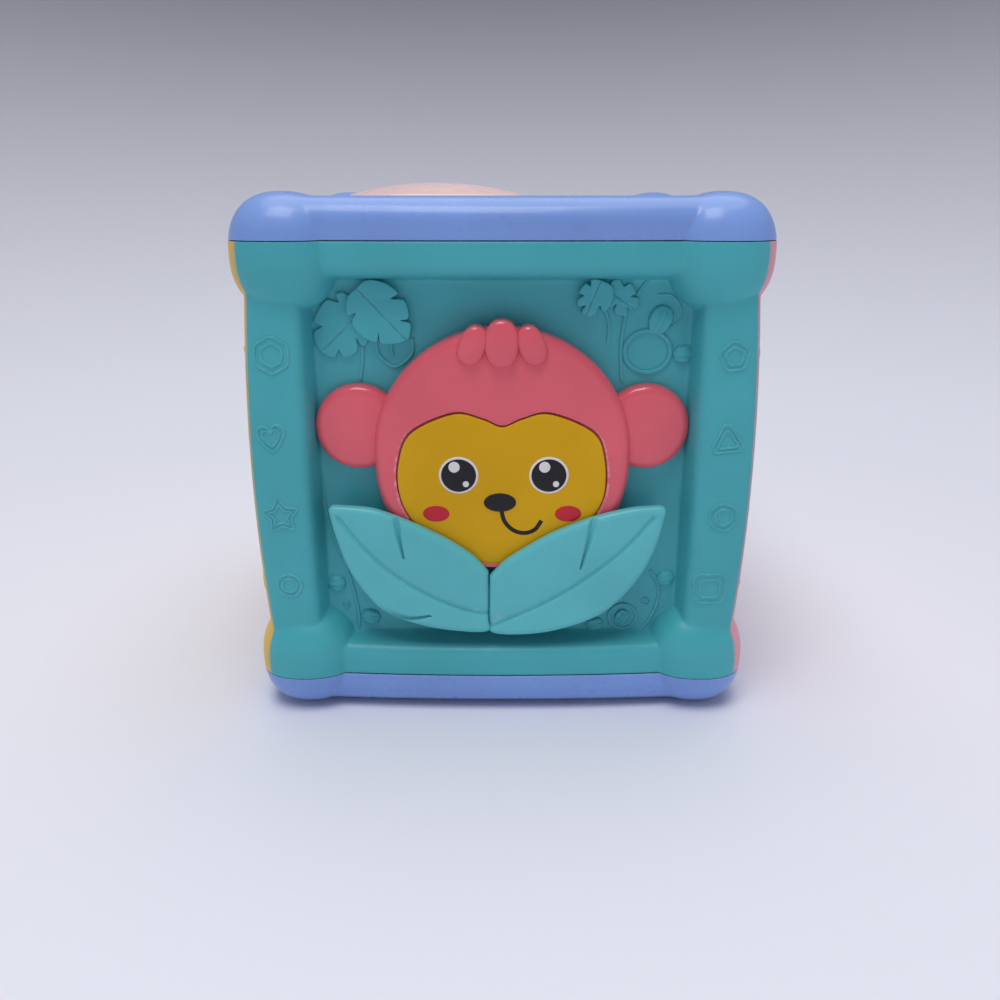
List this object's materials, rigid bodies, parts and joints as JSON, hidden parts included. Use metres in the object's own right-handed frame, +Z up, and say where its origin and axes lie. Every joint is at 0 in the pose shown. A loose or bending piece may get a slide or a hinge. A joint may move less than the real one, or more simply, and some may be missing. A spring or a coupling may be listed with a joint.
{
  "type": "activity cube",
  "caption": "Activity cube with a framed plaything on each side: a peekaboo monkey behind leaves, meshing gears, a clock, a spinning flower with sliding buttons, and a press drum with keys.",
  "frame": {"origin": "on the ground under the middle of the cube, between its four feet", "axes": "+Z up, -Y towards the face with the monkey, +X to that face's right as seen from in front"},
  "size_m": [0.166, 0.166, 0.1728],
  "materials": {
    "blue_plastic": "satin moulded ABS, periwinkle blue",
    "teal_plastic": "satin moulded ABS, teal",
    "leaf_plastic": "satin moulded ABS, light teal",
    "yellow_plastic": "satin moulded ABS, yellow",
    "rose_plastic": "satin moulded ABS, pale pink",
    "mint_plastic": "satin moulded ABS, mint green",
    "pink_plastic": "glossy moulded ABS, coral pink",
    "mustard_plastic": "glossy moulded ABS, mustard yellow, printed",
    "orange_plastic": "glossy moulded ABS, orange",
    "blush_plastic": "glossy moulded ABS, pinkish white",
    "cream_plastic": "satin moulded ABS, cream",
    "inner_plastic": "plain moulded ABS, white",
    "black_plastic": "plain moulded plastic, black",
    "screw_steel": "zinc-plated steel",
    "cell_metal": "sleeved dry cell, whose mean density is near aluminium's",
    "board": "green solder mask on glass-fibre laminate",
    "lead_rubber": "insulated lead"
  },
  "bodies": {
    "cube": {"top_lid": "blue_plastic", "bottom_lid": "blue_plastic", "front_panel": "teal_plastic", "left_panel": "yellow_plastic", "right_panel": "rose_plastic", "back_panel": "mint_plastic", "corner_post_1": "inner_plastic", "corner_post_2": "inner_plastic", "corner_post_3": "inner_plastic", "corner_post_4": "inner_plastic", "case_screw_1": "screw_steel", "case_screw_2": "screw_steel", "case_screw_3": "screw_steel", "case_screw_4": "screw_steel", "carriage_guide": "inner_plastic", "head_spring": "screw_steel", "left_leaf": "leaf_plastic", "right_leaf": "leaf_plastic", "drum_bezel": "orange_plastic", "drum_spring": "screw_steel", "key_spring_1": "screw_steel", "key_spring_2": "screw_steel", "key_spring_3": "screw_steel", "circuit_board": "board", "battery_box": "inner_plastic", "battery_cell_1": "cell_metal", "battery_cell_2": "cell_metal", "battery_cell_3": "cell_metal", "battery_door": "blue_plastic", "battery_door_screw": "screw_steel", "speaker": "black_plastic", "switch_body": "black_plastic", "power_lead": "lead_rubber", "gear_axle_1": "cream_plastic", "gear_axle_2": "cream_plastic", "gear_axle_3": "cream_plastic", "clock_dial": "cream_plastic", "clock_pin": "yellow_plastic", "spinner_pin": "yellow_plastic"},
    "monkey": {"head_shell": "pink_plastic", "head_back_plate": "pink_plastic", "face_plate": "mustard_plastic", "head_carriage": "inner_plastic", "head_screw": "screw_steel"},
    "drum": {"drum_cap": "blush_plastic"},
    "first_key": {"key_1": "yellow_plastic"},
    "second_key": {"key_2": "mint_plastic"},
    "third_key": {"key_3": "orange_plastic"},
    "large_gear": {"gear_1": "orange_plastic"},
    "middle_gear": {"gear_2": "blue_plastic"},
    "small_gear": {"gear_3": "rose_plastic"},
    "clock_hour": {"hour_hand": "blue_plastic"},
    "clock_minute": {"minute_hand": "pink_plastic"},
    "flower": {"flower_spinner": "pink_plastic"},
    "upper_slider": {"slide_button_1": "orange_plastic", "slide_clip_1": "inner_plastic"},
    "lower_slider": {"slide_button_2": "blue_plastic", "slide_clip_2": "inner_plastic"},
    "power_switch": {"switch_knob": "black_plastic"}
  },
  "joints": [
    {"name": "monkey_slide", "type": "slide", "parent": "cube", "child": "monkey", "axis": [0, 0, -1], "range_m": [0, 0.0115], "stiffness_N_per_m": 60, "springref_m": -0.02, "deforming": ["head_spring"]},
    {"name": "drum_press", "type": "slide", "parent": "cube", "child": "drum", "axis": [0, 0, -1], "range_m": [0, 0.002], "stiffness_N_per_m": 300, "springref_m": -0.003, "deforming": ["drum_spring"]},
    {"name": "first_key_press", "type": "slide", "parent": "cube", "child": "first_key", "axis": [0, 0, -1], "range_m": [0, 0.0022], "stiffness_N_per_m": 200, "springref_m": -0.003, "deforming": ["key_spring_1"]},
    {"name": "second_key_press", "type": "slide", "parent": "cube", "child": "second_key", "axis": [0, 0, -1], "range_m": [0, 0.0022], "stiffness_N_per_m": 200, "springref_m": -0.003, "deforming": ["key_spring_2"]},
    {"name": "third_key_press", "type": "slide", "parent": "cube", "child": "third_key", "axis": [0, 0, -1], "range_m": [0, 0.0022], "stiffness_N_per_m": 200, "springref_m": -0.003, "deforming": ["key_spring_3"]},
    {"name": "large_gear_turn", "type": "hinge", "parent": "cube", "child": "large_gear", "pos_m": [-0.07, 0.024, 0.0626], "axis": [-1, 0, 0], "continuous": true},
    {"name": "middle_gear_turn", "type": "hinge", "parent": "cube", "child": "middle_gear", "pos_m": [-0.07, -0.01757, 0.0866], "axis": [-1, 0, 0], "continuous": true},
    {"name": "small_gear_turn", "type": "hinge", "parent": "cube", "child": "small_gear", "pos_m": [-0.07, 0.00143, 0.11951], "axis": [-1, 0, 0], "continuous": true},
    {"name": "hour_hand_turn", "type": "hinge", "parent": "cube", "child": "clock_hour", "pos_m": [0.07, 0, 0.0846], "axis": [1, 0, 0], "continuous": true},
    {"name": "minute_hand_turn", "type": "hinge", "parent": "cube", "child": "clock_minute", "pos_m": [0.07, 0, 0.0846], "axis": [1, 0, 0], "continuous": true},
    {"name": "flower_spin", "type": "hinge", "parent": "cube", "child": "flower", "pos_m": [0, 0.07, 0.1066], "axis": [0, 1, 0], "continuous": true},
    {"name": "upper_slider_slide", "type": "slide", "parent": "cube", "child": "upper_slider", "axis": [-1, 0, 0], "range_m": [0, 0.066]},
    {"name": "lower_slider_slide", "type": "slide", "parent": "cube", "child": "lower_slider", "axis": [1, 0, 0], "range_m": [0, 0.066]},
    {"name": "power_switch_slide", "type": "slide", "parent": "cube", "child": "power_switch", "axis": [1, 0, 0], "range_m": [0, 0.004]}
  ],
  "couplings": [
    {"joint": "middle_gear_turn", "follows": "large_gear_turn", "ratio": -1.4},
    {"joint": "small_gear_turn", "follows": "large_gear_turn", "ratio": 1.5556}
  ]
}
